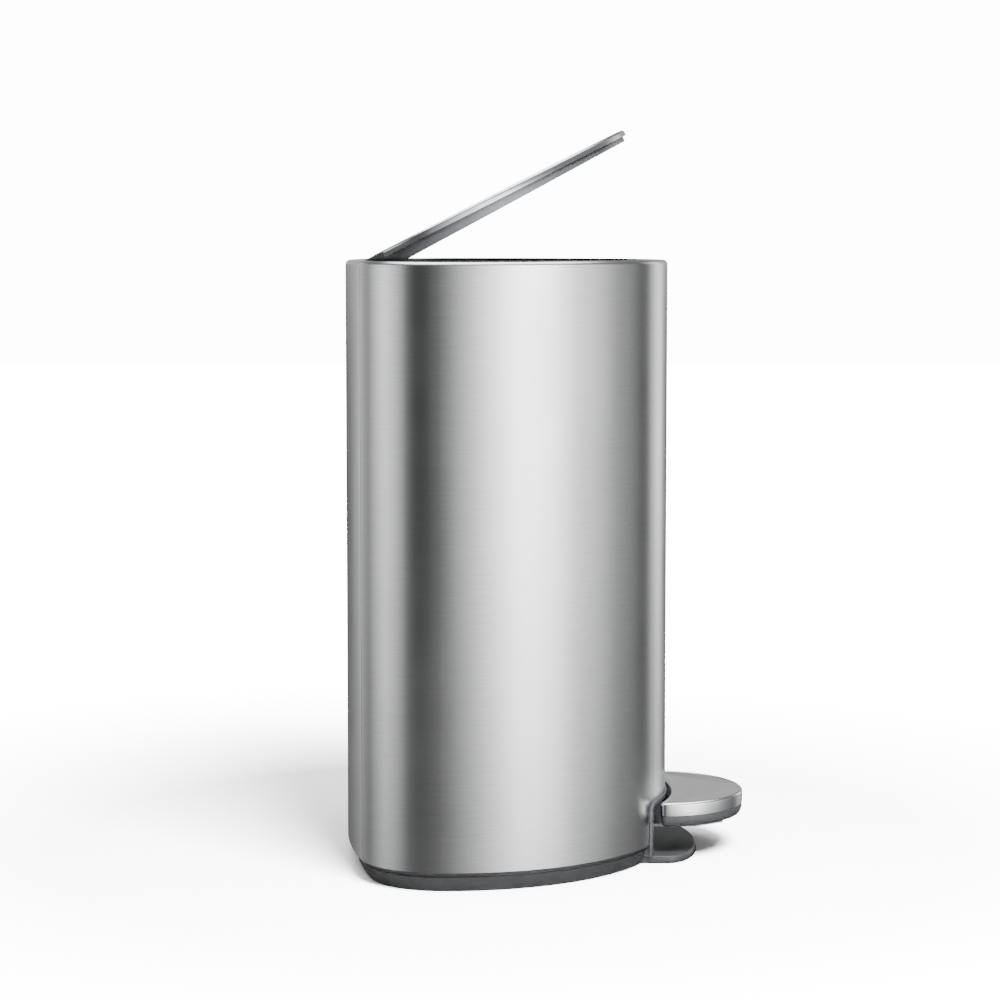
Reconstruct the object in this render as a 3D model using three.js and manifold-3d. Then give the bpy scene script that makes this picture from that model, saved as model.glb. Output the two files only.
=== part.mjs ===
// Semi-round pedal trash can with a half-open lid. Millimetres, +Z up, front towards -Y.
// The origin lies on the floor, half way along the body.
import * as THREE from "three";
import { mergeVertices } from "three/addons/utils/BufferGeometryUtils.js";
import Module from "manifold-3d";

const wasm = await Module();
wasm.setup();

// ---------- driving dimensions ----------
const GAP = 0.3; // air between pieces that touch
const RIM_Z = 640; // top of the steel body
const SHELL_Z = 21; // lower edge of the steel body
const SHEET = 1; // steel sheet
const RIM_ROUND = 5; // radius of the rolled rim
const LIP = 8.5; // width of the flat rim
const SEAM_Y = 153; // joint between the front shell and the rear panel
// plan of the body: a round nose, two corners and a bowed back, all tangent
const BODY = { nose: -173, length: 346, front: 234.4, corner: 90.6, back: 761.4 };
const NOSE = BODY.nose;

const BASE_FLOOR = 5; // thickness of the base plate
const BASE_TOP = 17; // top of the sloping skirt
const BASE_INSET = 4; // skirt inset at its top
const BASE_SLOPE = 6.7; // extra inset at the floor
const UPSTAND_Z = 45; // wall of the base inside the shell
const TONGUE = { half: 95, straight: -170, tip: -206, thick: 8 };
const BASE_WALL = 14; // inset of the hollow behind the skirt
const OPENING = { half: 98, top: 62, round: 10, depth: -100 }; // pedal opening in the shell
// frame of the opening: how far it laps round the edge, stands proud and reaches inside
const TRIM = { edge: 4, proud: 1.4, sleeve: 9, side: 3, head: 1 };
const FOOT = { radius: 14, thick: 2.6, x: 120, front: -70, rear: 100 };

const LEDGE_Z = 600; // underside of the collar ledge
const LEDGE_THICK = 3;
const COLLAR_WALL = 2.5;
const ROD_HOLE = { half: 15, depth: 14 }; // hole in the ledge for the push rod
const PAIL = { nose: -151, length: 248, front: 212, corner: 50, back: 740 }; // inner bucket
const PAIL_Z = 78; // underside of the bucket
const PAIL_WALL = 2.5;
const PAIL_TAPER = 0.05; // share by which the bucket narrows to its floor
const FLANGE = { over: 5, thick: 3 };

const HINGE = { y: 145, z: RIM_Z - 8, x: 100, pin: 2, tab: 3, foot: 15, boss: 6 };
const SCREW = { hole: 2.1, shank: 1.7, head: 3.6, rise: 2.2 };
const BUMPER = { turn: 38, radius: 4.5, long: 16, below: 17.5 }; // rubber stops for the lid
const LID_TILT = THREE.MathUtils.degToRad(26.8); // how far the lid stands open at rest
const LID = { inset: 11, top: 9.5, plate: 7, rear: 4, linerInset: 15 };
// the rear corners of the lid are clipped so that they pass the rim as it opens
const CLIP = [
  [118, 5],
  [132, -9],
  [176, -9],
  [196, -22],
];
const LINER_REAR = -10.5; // underside of the liner, from the hinge axis
const LINER_TIP = -2.5;
const LINER = { wall: 2.5, slot: 3.5, slotDeep: 10, bay: 21, bayDeep: 51 };
const LID_REACH = HINGE.y - (NOSE + LID.inset);
const CRANK = { radius: 30, pin: 2.5, ear: 3, inner: 12, half: THREE.MathUtils.degToRad(36) };
const CRANK_PIN_Y = -CRANK.radius * Math.cos(CRANK.half);
const CRANK_PIN_Z = -CRANK.radius * Math.sin(CRANK.half);

const ROD = { y: 118, width: 16, thick: 4 };
const YOKE = { half: 10, depth: 10, below: 16, above: 6, play: 1.2 };
const ROD_FOOT = { half: 14, depth: 10, tall: 24, seat: 11 };
const CHANNEL = { half: 45, front: 104, depth: 46, wall: 2 };
const AXLE = { y: -50, z: 30, radius: 3, half: 104 };
const LEVER = { top: 38.6, thick: 3, half: 74, tail: 20, nose: -232, tailEnd: 114 };
const ROLLER = { z: 44, radius: 6, half: 8, pin: 2 };
const BUSH = { radius: 6.5, flange: 9, half: 4 };
const AXLE_BRACKET = { inset: 9, half: 2, foot: 16, thick: 3, boss: 11 };
const PEDAL = { half: 97, cap: 65, capFoot: 51, foot: 39, centre: -165, reach: 93, gap: 6.5 };
const PEDAL_SHEET = 1.2;

const STEEL = { color: 0xc4c6c8, roughness: 0.35, metalness: 1 };
const BRIGHT = { color: 0xd8dadc, roughness: 0.2, metalness: 1 };
const DARK_PLASTIC = { color: 0x46484a, roughness: 0.55, metalness: 0 };
const GREY_PLASTIC = { color: 0x8d9093, roughness: 0.5, metalness: 0 };
const BUCKET_PLASTIC = { color: 0x6c6f72, roughness: 0.5, metalness: 0 };
const RUBBER = { color: 0x222324, roughness: 0.9, metalness: 0 };

// ---------- helpers ----------
const part = new THREE.Group();

function solid(geometry) {
  const bare = geometry.clone();
  bare.deleteAttribute("normal");
  bare.deleteAttribute("uv");
  const merged = mergeVertices(bare, 1e-4);
  return new wasm.Manifold(
    new wasm.Mesh({
      numProp: 3,
      vertProperties: new Float32Array(merged.attributes.position.array),
      triVerts: new Uint32Array(merged.index.array),
    }),
  );
}

function add(name, shape, look, parent = part) {
  const data = shape.getMesh();
  const geometry = new THREE.BufferGeometry();
  geometry.setAttribute("position", new THREE.BufferAttribute(data.vertProperties, 3));
  geometry.setIndex(new THREE.BufferAttribute(data.triVerts, 1));
  geometry.computeVertexNormals();
  const mesh = new THREE.Mesh(geometry, new THREE.MeshStandardMaterial(look));
  mesh.name = name;
  parent.add(mesh);
  return mesh;
}

const join = (first, ...rest) => rest.reduce((all, one) => all.add(one), first);
const cut = (first, ...rest) => rest.reduce((all, one) => all.subtract(one), first);

// a box given by its lowest and highest corners
function box(x0, x1, y0, y1, z0, z1) {
  const geometry = new THREE.BoxGeometry(x1 - x0, y1 - y0, z1 - z0);
  return solid(geometry.translate((x0 + x1) / 2, (y0 + y1) / 2, (z0 + z1) / 2));
}

// a round bar along x
function barX(x0, x1, y, z, radius, sides = 20) {
  const geometry = new THREE.CylinderGeometry(radius, radius, x1 - x0, sides);
  return solid(geometry.rotateZ(Math.PI / 2).translate((x0 + x1) / 2, y, z));
}

// a round bar along z
function barZ(x, y, z0, z1, radius, sides = 20) {
  const geometry = new THREE.CylinderGeometry(radius, radius, z1 - z0, sides);
  return solid(geometry.rotateX(Math.PI / 2).translate(x, y, (z0 + z1) / 2));
}

function arc(cx, cy, radius, from, to, degrees) {
  const steps = Math.max(1, Math.round(THREE.MathUtils.radToDeg(Math.abs(to - from)) / degrees));
  return Array.from({ length: steps + 1 }, (_, i) => {
    const angle = from + ((to - from) * i) / steps;
    return new THREE.Vector2(cx + radius * Math.cos(angle), cy + radius * Math.sin(angle));
  });
}

// the closed plan outline, moved inwards by inset
function outline(plan, inset = 0) {
  const frontY = plan.nose + plan.front;
  const backY = plan.nose + plan.length - plan.back;
  const toCorner = plan.front - plan.corner;
  const backToCorner = plan.back - plan.corner;
  const apart = frontY - backY;
  const below = (toCorner ** 2 - backToCorner ** 2 + apart ** 2) / (2 * apart);
  const x = Math.sqrt(toCorner ** 2 - below ** 2);
  const y = frontY - below;
  const low = Math.atan2(y - frontY, x);
  const high = Math.atan2(y - backY, x);
  const points = [
    ...arc(0, frontY, plan.front - inset, Math.PI - low, 2 * Math.PI + low, 7.5),
    ...arc(x, y, plan.corner - inset, low, high, 10).slice(1),
    ...arc(0, backY, plan.back - inset, high, Math.PI - high, 3).slice(1),
    ...arc(-x, y, plan.corner - inset, Math.PI - high, Math.PI - low, 10).slice(1, -1),
  ];
  return new THREE.Shape(points);
}

// an upright block of a plan shape; its edges are rounded, or chamfered in one step
function block(shape, z0, z1, edge = 0, rise = edge, steps = 3) {
  const settings = { depth: z1 - z0, bevelEnabled: false };
  if (edge > 0) {
    settings.depth = z1 - z0 - 2 * rise;
    settings.bevelEnabled = true;
    settings.bevelThickness = rise;
    settings.bevelSize = edge;
    settings.bevelOffset = -edge;
    settings.bevelSegments = steps;
  }
  return solid(new THREE.ExtrudeGeometry(shape, settings).translate(0, 0, z0 + (edge > 0 ? rise : 0)));
}

const BIG = 1000;
const above = (z) => box(-BIG, BIG, -BIG, BIG, z, BIG);
const below = (z) => box(-BIG, BIG, -BIG, BIG, -BIG, z);
const behind = (y) => box(-BIG, BIG, y, BIG, -BIG, BIG);
const before = (y) => box(-BIG, BIG, -BIG, y, -BIG, BIG);

// a block of a plan shape whose top edge alone is rounded
function domed(shape, z0, z1, edge) {
  return cut(block(shape, z0 - 3 * edge, z1, edge), below(z0));
}

// ---------- base ----------
function tongueShape(inset = 0) {
  const half = TONGUE.half - inset;
  const depth = TONGUE.straight - TONGUE.tip - inset;
  const tip = arc(0, 0, 1, Math.PI, 2 * Math.PI, 9).map(
    (p) => new THREE.Vector2(p.x * half, TONGUE.straight + p.y * depth),
  );
  return new THREE.Shape([...tip, new THREE.Vector2(half, -120), new THREE.Vector2(-half, -120)]);
}

const footSpots = [
  [-FOOT.x, FOOT.front],
  [FOOT.x, FOOT.front],
  [-FOOT.x, FOOT.rear],
  [FOOT.x, FOOT.rear],
];

function base() {
  const skirt = cut(
    block(outline(BODY, BASE_INSET), 0, 3 * BASE_TOP, BASE_SLOPE, BASE_TOP, 1),
    above(BASE_TOP),
  );
  const ledge = block(outline(BODY, BASE_INSET), BASE_TOP, SHELL_Z - GAP);
  const upstand = block(outline(BODY, SHEET + GAP), SHELL_Z - GAP - 1, UPSTAND_Z);
  const hollow = block(outline(BODY, BASE_WALL), BASE_FLOOR, 2 * UPSTAND_Z);
  const wallInside = block(outline(BODY, BASE_INSET + 2.5), SHELL_Z - GAP, 2 * UPSTAND_Z);
  const doorway = box(-OPENING.half, OPENING.half, -BIG, OPENING.depth, TONGUE.thick, BIG);
  const tongue = domed(tongueShape(), 0, TONGUE.thick, 2);
  let body = cut(join(skirt, ledge, upstand), hollow, wallInside, doorway);
  body = join(body, cut(tongue, hollow));
  for (const [x, y] of footSpots) {
    body = cut(body, barZ(x, y, -1, FOOT.thick + GAP, FOOT.radius + GAP, 24));
  }
  return body;
}
add("base", base(), DARK_PLASTIC);
footSpots.forEach(([x, y], i) => {
  add(`foot_pad_${i + 1}`, barZ(x, y, 0, FOOT.thick, FOOT.radius, 24), RUBBER);
});

// ---------- steel body ----------
function sheetBody() {
  return cut(
    domed(outline(BODY), SHELL_Z, RIM_Z, RIM_ROUND),
    domed(outline(BODY, SHEET), SHELL_Z - 1, RIM_Z - SHEET, RIM_ROUND - SHEET),
  );
}

// the pedal opening as an arch-topped block looking along y, grown at its sides and head
function archway(side, head, round, foot, over = 0) {
  const half = OPENING.half + side;
  const top = OPENING.top + head;
  const radius = OPENING.round + round;
  const back = OPENING.depth + over;
  const points = [
    new THREE.Vector2(-half, foot),
    new THREE.Vector2(half, foot),
    ...arc(half - radius, top - radius, radius, 0, Math.PI / 2, 15),
    ...arc(radius - half, top - radius, radius, Math.PI / 2, Math.PI, 15),
  ];
  const settings = { depth: back - NOSE + 50 + over, bevelEnabled: false };
  const geometry = new THREE.ExtrudeGeometry(new THREE.Shape(points), settings);
  return solid(geometry.rotateX(Math.PI / 2).translate(0, back, 0));
}

const mouth = block(outline(BODY, LIP), RIM_Z - 20, RIM_Z + 20);
const pedalHole = archway(0, 0, 0, 0);
add("front_shell", cut(sheetBody(), mouth, behind(SEAM_Y), pedalHole), STEEL);
add("rear_panel", cut(sheetBody(), before(SEAM_Y + GAP)), STEEL);

// ---------- pedal opening trim ----------
function openingTrim() {
  const foot = TONGUE.thick + GAP;
  const { edge, proud, sleeve, side, head } = TRIM;
  const outer = archway(edge, edge, edge, foot);
  const plug = archway(-GAP, -GAP, -GAP, foot);
  const inner = archway(-side, -head, -2, -foot, 1);
  const band = cut(block(outline(BODY, -proud), SHELL_Z, 100), block(outline(BODY, -GAP), 0, 101));
  const lining = cut(block(outline(BODY, -1), 0, 100), block(outline(BODY, sleeve), -1, 101));
  return cut(join(band.intersect(outer), lining.intersect(plug)), inner);
}
add("pedal_opening_trim", openingTrim(), GREY_PLASTIC);

// ---------- collar inside the rim ----------
const rodSlot = box(
  -ROD_HOLE.half, ROD_HOLE.half, ROD.y - ROD_HOLE.depth, ROD.y + ROD_HOLE.depth, LEDGE_Z - 10, LEDGE_Z + 10,
);
const screwSpots = [-1, 1].flatMap((side) => [
  [side * (HINGE.x + 9), HINGE.y - 12],
  [side * (HINGE.x + 9), HINGE.y + 6],
]);

function collar() {
  const inside = SHEET + GAP;
  const plate = block(outline(BODY, inside), LEDGE_Z, LEDGE_Z + LEDGE_THICK);
  const wall = cut(
    block(outline(BODY, inside), LEDGE_Z, RIM_Z - 8),
    block(outline(BODY, inside + COLLAR_WALL), LEDGE_Z - 1, RIM_Z),
  );
  let body = join(cut(plate, block(outline(PAIL, -1), LEDGE_Z - 1, RIM_Z), rodSlot), wall);
  for (const [x, y] of screwSpots) {
    body = cut(body, barZ(x, y, LEDGE_Z - 1, LEDGE_Z + 10, SCREW.hole, 12));
  }
  return body;
}
add("inner_collar", collar(), DARK_PLASTIC);

// ---------- inner bucket ----------
// narrows a block towards the floor about the middle of the bucket
function taper(geometry) {
  const at = geometry.attributes.position;
  const middle = PAIL.nose + PAIL.length / 2;
  for (let i = 0; i < at.count; i += 1) {
    const share = 1 - (PAIL_TAPER * (LEDGE_Z - at.getZ(i))) / (LEDGE_Z - PAIL_Z);
    at.setX(i, at.getX(i) * share);
    at.setY(i, middle + (at.getY(i) - middle) * share);
  }
  return solid(geometry);
}

function bucket() {
  const top = LEDGE_Z + LEDGE_THICK + GAP + FLANGE.thick;
  const tall = (inset, z0, z1) => {
    const settings = { depth: z1 - z0, bevelEnabled: false };
    return taper(new THREE.ExtrudeGeometry(outline(PAIL, inset), settings).translate(0, 0, z0));
  };
  const flange = block(outline(PAIL, -FLANGE.over), top - FLANGE.thick, top, 1, 1, 2);
  return cut(join(tall(0, PAIL_Z, top - 1), flange), tall(PAIL_WALL, PAIL_Z + PAIL_WALL, top + 5));
}
add("inner_bucket", bucket(), BUCKET_PLASTIC);

// ---------- rod channel and guides ----------
function channel() {
  const { half, front, depth, wall } = CHANNEL;
  const outer = box(-half, half, front, front + depth, BASE_FLOOR + GAP, LEDGE_Z - GAP);
  const inner = box(-half + wall, half - wall, front + wall, front + depth + 1, 0, LEDGE_Z + 1);
  const lowDoor = box(-32, 32, front - 1, front + wall + 1, 0, 76);
  return cut(outer, inner, lowDoor);
}
add("rod_channel", channel(), GREY_PLASTIC);
[150, 545].forEach((z, i) => {
  const yFront = CHANNEL.front + CHANNEL.wall + GAP;
  const guide = cut(
    box(-16, 16, yFront, ROD.y + 9, z, z + 18),
    box(-ROD.width / 2 - 0.6, ROD.width / 2 + 0.6, ROD.y - 2.6, ROD.y + 2.6, z - 1, z + 19),
  );
  add(`rod_guide_${i + 1}`, guide, DARK_PLASTIC);
});

// ---------- lid hinges ----------
const FOOT_Z = LEDGE_Z + LEDGE_THICK + GAP;
[-1, 1].forEach((side) => {
  const word = side < 0 ? "left" : "right";
  const mid = side * HINGE.x;
  const outer = side * (HINGE.x + HINGE.foot);
  const half = HINGE.tab / 2;
  const tab = join(
    box(mid - half, mid + half, HINGE.y - HINGE.boss, HINGE.y + HINGE.boss, FOOT_Z, HINGE.z),
    barX(mid - half, mid + half, HINGE.y, HINGE.z, HINGE.boss),
  );
  const x0 = Math.min(mid, outer);
  const x1 = Math.max(mid, outer);
  const plate = box(x0, x1, HINGE.y - 18, HINGE.y + 11, FOOT_Z, FOOT_Z + 2);
  let bracket = cut(join(tab, plate), barX(mid - 5, mid + 5, HINGE.y, HINGE.z, HINGE.pin + GAP, 16));
  for (const [x, y] of screwSpots) {
    bracket = cut(bracket, barZ(x, y, FOOT_Z - 1, FOOT_Z + 5, SCREW.hole, 12));
  }
  add(`hinge_bracket_${word}`, bracket, STEEL);
  add(`hinge_pin_${word}`, barX(mid - 11, mid + 11, HINGE.y, HINGE.z, HINGE.pin, 16), BRIGHT);
});
screwSpots.forEach(([x, y], i) => {
  const top = FOOT_Z + 2 + GAP;
  const head = barZ(x, y, top, top + SCREW.rise, SCREW.head, 16);
  const screw = join(head, barZ(x, y, LEDGE_Z - 6, top + 1, SCREW.shank, 12));
  add(`hinge_screw_${i + 1}`, screw, BRIGHT);
});

// rubber stops that the closed lid lands on
[-1, 1].forEach((side) => {
  const turn = THREE.MathUtils.degToRad(-90 + side * BUMPER.turn);
  const reach = BODY.front - SHEET - COLLAR_WALL - 5 * GAP;
  const geometry = new THREE.CylinderGeometry(BUMPER.radius, BUMPER.radius, BUMPER.long, 16);
  geometry.rotateZ(Math.PI / 2).translate(reach - BUMPER.long / 2, 0, 0).rotateZ(turn);
  geometry.translate(0, NOSE + BODY.front, RIM_Z - BUMPER.below);
  add(`lid_bumper_${side < 0 ? "left" : "right"}`, solid(geometry), RUBBER);
});

// ---------- lid, drawn closed about its hinge axis and then tilted ----------
const lid = new THREE.Group();
lid.position.set(0, HINGE.y, HINGE.z);
lid.rotation.x = -LID_TILT;
part.add(lid);
const LID_PLAN = { ...BODY, nose: NOSE - HINGE.y };

function clipCorner(side) {
  const last = CLIP.at(-1);
  const corner = [...CLIP, [BIG, last[1]], [BIG, BIG], [CLIP[0][0], BIG]].map(
    ([x, y]) => new THREE.Vector2(side * x, y),
  );
  return block(new THREE.Shape(side < 0 ? corner.reverse() : corner), -BIG, BIG);
}
const clips = [clipCorner(-1), clipCorner(1)];

function lidPlate() {
  const outer = domed(outline(LID_PLAN, LID.inset), LID.top - LID.plate, LID.top, 3);
  const inner = domed(outline(LID_PLAN, LID.inset + SHEET), -BIG / 10, LID.top - SHEET, 2);
  return cut(outer, inner, behind(LID.rear), ...clips);
}
add("lid_top_plate", lidPlate(), STEEL, lid);

// everything under the sloping underside of the liner
function underLiner(lift) {
  const slope = Math.atan2(LINER_TIP - LINER_REAR, LID_REACH);
  const slab = new THREE.BoxGeometry(BIG, BIG, 200);
  return solid(slab.translate(0, 0, -100).rotateX(-slope).translate(0, 0, LINER_REAR + lift));
}

function lidLiner() {
  const top = LID.top - SHEET - GAP;
  const body = cut(block(outline(LID_PLAN, LID.linerInset), LINER_REAR - 5, top), underLiner(0));
  const { wall, slot, slotDeep, bay, bayDeep } = LINER;
  const pocket = cut(
    block(outline(LID_PLAN, LID.linerInset + wall), LINER_REAR, top + 1),
    underLiner(wall),
    behind(-14),
    box(-bay - 3, bay + 3, -bayDeep - 3, 0, -50, 50),
  );
  const slots = [-1, 1].map((side) => {
    const mid = side * HINGE.x;
    return box(mid - slot, mid + slot, -slotDeep, 50, -50, 50);
  });
  const bores = [-1, 1].map((side) => {
    const mid = side * HINGE.x;
    return barX(mid - 13, mid + 13, 0, 0, HINGE.pin + GAP, 16);
  });
  const crankBay = box(-bay, bay, -bayDeep, 50, -50, 50);
  return cut(body, pocket, behind(LID.rear - GAP), crankBay, ...clips, ...slots, ...bores);
}
add("lid_liner", lidLiner(), DARK_PLASTIC, lid);

// crank under the lid: a plate with two ears that carry the pin of the push rod
function crank() {
  const top = LID.top - SHEET - GAP;
  let body = box(-18, 18, -48, -8, top - 2.5, top);
  for (const side of [-1, 1]) {
    const x0 = side < 0 ? -CRANK.inner - CRANK.ear : CRANK.inner;
    const ear = join(
      box(x0, x0 + CRANK.ear, CRANK_PIN_Y - 5, CRANK_PIN_Y + 5, CRANK_PIN_Z, top - 1),
      barX(x0, x0 + CRANK.ear, CRANK_PIN_Y, CRANK_PIN_Z, 5),
    );
    body = join(body, ear);
    body = cut(body, barZ(side * 5, -42, top - 5, top + 1, 2, 12));
  }
  return cut(body, barX(-20, 20, CRANK_PIN_Y, CRANK_PIN_Z, CRANK.pin + GAP, 16));
}
add("lid_crank", crank(), STEEL, lid);
add("crank_pin", barX(-17, 17, CRANK_PIN_Y, CRANK_PIN_Z, CRANK.pin, 16), BRIGHT, lid);

// ---------- push rod ----------
const pinRest = HINGE.z - CRANK.radius * Math.sin(CRANK.half - LID_TILT);
const footBottom = ROLLER.z + ROLLER.radius + 2 * GAP;

// a stretch of the flat rod, grown on all sides where it makes a pocket
function rodBlock(z0, z1, grow = 0) {
  const half = ROD.width / 2 + grow;
  const thick = ROD.thick / 2 + grow;
  return box(-half, half, ROD.y - thick, ROD.y + thick, z0, z1);
}
const rodTop = pinRest - 8;
add("push_rod", rodBlock(footBottom + ROD_FOOT.seat, rodTop), STEEL);

// block on top of the rod, with a slot that the crank pin runs in
function yoke() {
  const { half, depth, below: under, above: over, play } = YOKE;
  const outer = box(-half, half, ROD.y - depth, ROD.y + depth, pinRest - under, pinRest + over);
  const slotHalf = CRANK.pin + play;
  const slotMid = pinRest + 0.2;
  const slot = box(-20, 20, ROD.y - 7, ROD.y + 7, slotMid - slotHalf, slotMid + slotHalf);
  return cut(outer, slot, rodBlock(pinRest - 30, rodTop + GAP, GAP));
}
add("rod_yoke", yoke(), DARK_PLASTIC);

// shoe under the rod, that the roller of the lever lifts
function rodFoot() {
  const { half, depth, tall, seat } = ROD_FOOT;
  const shoe = box(-half, half, ROD.y - depth, ROD.y + depth, footBottom, footBottom + tall);
  return cut(shoe, rodBlock(footBottom + seat - GAP, 200, GAP));
}
add("rod_foot", rodFoot(), DARK_PLASTIC);

// ---------- pedal lever, axle and roller ----------
function lever() {
  const { half, tail, nose, tailEnd } = LEVER;
  const plan = new THREE.Shape([
    new THREE.Vector2(-half + 20, nose),
    new THREE.Vector2(half - 20, nose),
    new THREE.Vector2(half, nose + 30),
    new THREE.Vector2(half, AXLE.y + 20),
    new THREE.Vector2(tail, AXLE.y + 75),
    new THREE.Vector2(tail, tailEnd - 6),
    new THREE.Vector2(-tail, tailEnd - 6),
    new THREE.Vector2(-tail, AXLE.y + 75),
    new THREE.Vector2(-half, AXLE.y + 20),
    new THREE.Vector2(-half, nose + 30),
  ]);
  let body = block(plan, LEVER.top - LEVER.thick, LEVER.top);
  for (const side of [-1, 1]) {
    const x0 = side < 0 ? -half : half - LEVER.thick;
    const cheek = join(
      box(x0, x0 + LEVER.thick, AXLE.y - 9, AXLE.y + 9, AXLE.z, LEVER.top - 1),
      barX(x0, x0 + LEVER.thick, AXLE.y, AXLE.z, 9),
    );
    const e0 = side < 0 ? -tail : tail - LEVER.thick;
    const ear = join(
      box(e0, e0 + LEVER.thick, ROD.y - 26, ROD.y, LEVER.top - LEVER.thick, LEVER.top + 4),
      barX(e0, e0 + LEVER.thick, ROD.y, ROLLER.z, 5),
      box(e0, e0 + LEVER.thick, ROD.y - 12, ROD.y, LEVER.top - LEVER.thick, ROLLER.z + 3),
    );
    body = join(body, cheek, ear);
  }
  const axleBore = barX(-BIG, BIG, AXLE.y, AXLE.z, AXLE.radius + GAP, 16);
  return cut(body, axleBore, barX(-BIG, BIG, ROD.y, ROLLER.z, ROLLER.pin + GAP, 16));
}
add("pedal_lever", lever(), STEEL);
add("pedal_axle", barX(-AXLE.half, AXLE.half, AXLE.y, AXLE.z, AXLE.radius, 16), BRIGHT);
const rollerBore = barX(-20, 20, ROD.y, ROLLER.z, ROLLER.pin + GAP, 16);
const roller = cut(barX(-ROLLER.half, ROLLER.half, ROD.y, ROLLER.z, ROLLER.radius), rollerBore);
add("lever_roller", roller, GREY_PLASTIC);
add("roller_pin", barX(-22, 22, ROD.y, ROLLER.z, ROLLER.pin, 16), BRIGHT);

[-1, 1].forEach((side) => {
  const word = side < 0 ? "left" : "right";
  const { inset, half, foot, thick, boss } = AXLE_BRACKET;
  const mid = side * (AXLE.half - inset);
  const floor = BASE_FLOOR + GAP;
  const outer = side * (AXLE.half + 2);
  const plate = box(
    Math.min(mid - half, outer), Math.max(mid + half, outer),
    AXLE.y - foot, AXLE.y + foot, floor, floor + thick,
  );
  const post = join(
    box(mid - half, mid + half, AXLE.y - boss, AXLE.y + boss, floor, AXLE.z),
    barX(mid - half, mid + half, AXLE.y, AXLE.z, boss),
  );
  const bushBore = barX(mid - 9, mid + 9, AXLE.y, AXLE.z, BUSH.radius + GAP);
  add(`axle_bracket_${word}`, cut(join(plate, post), bushBore), STEEL);
  const bush = cut(
    join(
      barX(mid - BUSH.half, mid + BUSH.half, AXLE.y, AXLE.z, BUSH.radius),
      barX(mid - BUSH.half, mid - half - GAP, AXLE.y, AXLE.z, BUSH.flange),
    ),
    barX(mid - 9, mid + 9, AXLE.y, AXLE.z, AXLE.radius + GAP, 16),
  );
  add(`axle_bush_${word}`, bush, GREY_PLASTIC);
});

// ---------- pedal ----------
// plan of the pedal: a round front and a hollow back that follows the body
function pedalShape(inset) {
  const reach = PEDAL.reach - inset;
  const backRadius = BODY.front + PEDAL.gap + inset;
  const centreY = NOSE + BODY.front;
  const half = PEDAL.half - inset;
  const meet = Math.asin(half / backRadius);
  const cornerY = centreY - backRadius * Math.cos(meet);
  const front = arc(0, 0, 1, Math.PI, 2 * Math.PI, 7.5).map(
    (p) => new THREE.Vector2(p.x * half, PEDAL.centre + p.y * reach),
  );
  const back = arc(0, centreY, backRadius, -Math.PI / 2 + meet, -Math.PI / 2 - meet, 6);
  return new THREE.Shape([...front, ...back.filter((p) => p.y <= cornerY + 1)]);
}

function pedalCap() {
  const outer = domed(pedalShape(0), PEDAL.capFoot, PEDAL.cap, 1.6);
  const inner = block(pedalShape(PEDAL_SHEET), PEDAL.capFoot - 1, PEDAL.cap - PEDAL_SHEET);
  return cut(outer, inner);
}
add("pedal_cap", pedalCap(), STEEL);

function pedalBody() {
  const joint = PEDAL.capFoot - GAP;
  const inside = PEDAL_SHEET + GAP;
  const low = cut(block(pedalShape(0.4), PEDAL.foot, PEDAL.capFoot + 20, 4, 7, 3), above(joint));
  const core = block(pedalShape(inside), PEDAL.capFoot - 1, PEDAL.cap - inside);
  return join(low, core);
}
add("pedal_underbody", pedalBody(), DARK_PLASTIC);

export default part;
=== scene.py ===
"""Semi-round pedal trash can in brushed stainless steel, with a half-open lid."""

import math

import bmesh
import bpy
from bpy.props import FloatProperty, FloatVectorProperty, PointerProperty
from mathutils import Matrix, Vector


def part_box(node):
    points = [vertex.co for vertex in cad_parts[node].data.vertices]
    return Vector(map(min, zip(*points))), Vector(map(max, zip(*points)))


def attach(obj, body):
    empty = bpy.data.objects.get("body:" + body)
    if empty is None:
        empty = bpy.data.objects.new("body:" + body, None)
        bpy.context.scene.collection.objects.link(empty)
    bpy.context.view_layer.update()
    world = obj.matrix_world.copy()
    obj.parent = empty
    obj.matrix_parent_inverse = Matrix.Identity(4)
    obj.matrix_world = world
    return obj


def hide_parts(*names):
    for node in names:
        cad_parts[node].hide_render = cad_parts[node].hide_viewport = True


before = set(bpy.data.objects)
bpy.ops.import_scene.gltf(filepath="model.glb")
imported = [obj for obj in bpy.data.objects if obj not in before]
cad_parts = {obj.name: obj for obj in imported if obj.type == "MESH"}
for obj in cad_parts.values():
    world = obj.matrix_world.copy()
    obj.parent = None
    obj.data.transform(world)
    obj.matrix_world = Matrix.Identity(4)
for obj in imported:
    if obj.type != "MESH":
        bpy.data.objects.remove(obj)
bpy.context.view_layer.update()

bl_info = {
    "name": "Pedal Trash Can",
    "version": (1, 0, 0),
    "blender": (4, 5, 0),
    "location": "View3D > Sidebar > Trash Can",
    "description": "Builds the fine surfaces and finishes of a semi-round pedal trash can",
    "category": "Add Mesh",
}

MM = 0.001
WELD = 0.01 * MM         # points closer than this are one point
FAR = 0.1                # how far a cutting shape reaches past what it cuts
DOORWAY = (-0.3, -0.1)   # stretch of y in which the pedal opening and its trim are cut
SHELL_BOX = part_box("front_shell")
PEDAL_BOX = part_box("pedal_cap")
UP = Vector((0, 0, 1))


# ---------------------------------------------------------------- values a user would change

def length(name, text, millimetres):
    """A size in metres, given by its default in millimetres."""
    return FloatProperty(name=name, description=text, default=millimetres * MM, unit="LENGTH", precision=5)


def linear(hex_colour):
    """An sRGB hex colour as the linear values that the shaders take."""
    parts = [int(hex_colour[i:i + 2], 16) / 255 for i in (1, 3, 5)]
    return tuple(c / 12.92 if c <= 0.04045 else ((c + 0.055) / 1.055) ** 2.4 for c in parts)


def colour(name, text, hex_colour):
    """A surface colour, given by its default in sRGB hex."""
    return FloatVectorProperty(
        name=name, description=text, default=linear(hex_colour), subtype="COLOR", size=3, min=0, max=1
    )


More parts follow.
